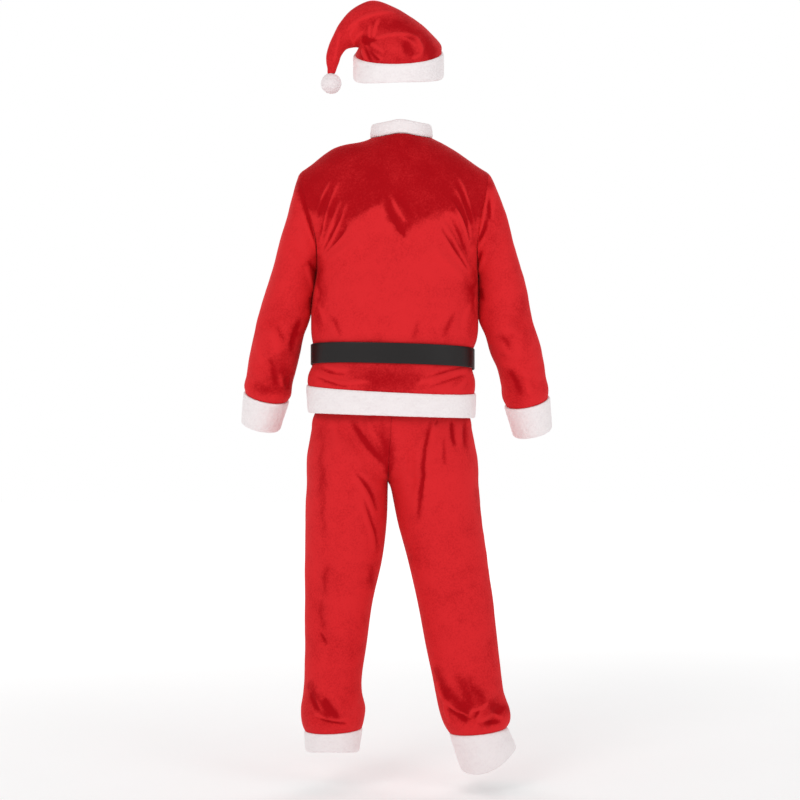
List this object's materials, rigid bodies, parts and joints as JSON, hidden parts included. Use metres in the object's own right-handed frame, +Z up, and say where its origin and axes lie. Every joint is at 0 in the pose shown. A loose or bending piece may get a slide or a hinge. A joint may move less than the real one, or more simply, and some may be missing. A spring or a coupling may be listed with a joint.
{
  "type": "santa suit",
  "caption": "Red velvet santa suit with white plush trim: folded-over hat with pompom, belted jacket and straight trousers, hollow and standing as if worn.",
  "frame": {"origin": "middle of the neck opening, where the wearer's shoulders hold the suit up", "axes": "+Z up, the front faces -Y, the wearer's left is +X"},
  "size_m": [0.7398, 0.2822, 1.8044],
  "materials": {
    "velvet": "crushed velvet with a soft sheen",
    "plush": "short white plush",
    "belt": "matte black imitation leather",
    "buckle": "satin"
  },
  "bodies": {
    "root": {"jacket_back": "velvet", "jacket_front_left": "velvet", "jacket_front_right": "velvet", "sleeve_left": "velvet", "sleeve_right": "velvet", "cuff_left": "plush", "cuff_right": "plush", "collar": "plush", "front_trim": "plush", "hem_band": "plush", "belt_strap": "belt", "belt_buckle": "buckle", "belt_prong": "buckle", "trouser_back_left": "velvet", "trouser_back_right": "velvet", "trouser_front_left": "velvet", "trouser_front_right": "velvet", "waistband": "velvet", "trouser_cuff_left": "plush", "trouser_cuff_right": "plush", "hat_crown": "velvet", "hat_band": "plush", "hat_pompom": "plush"}
  },
  "joints": []
}
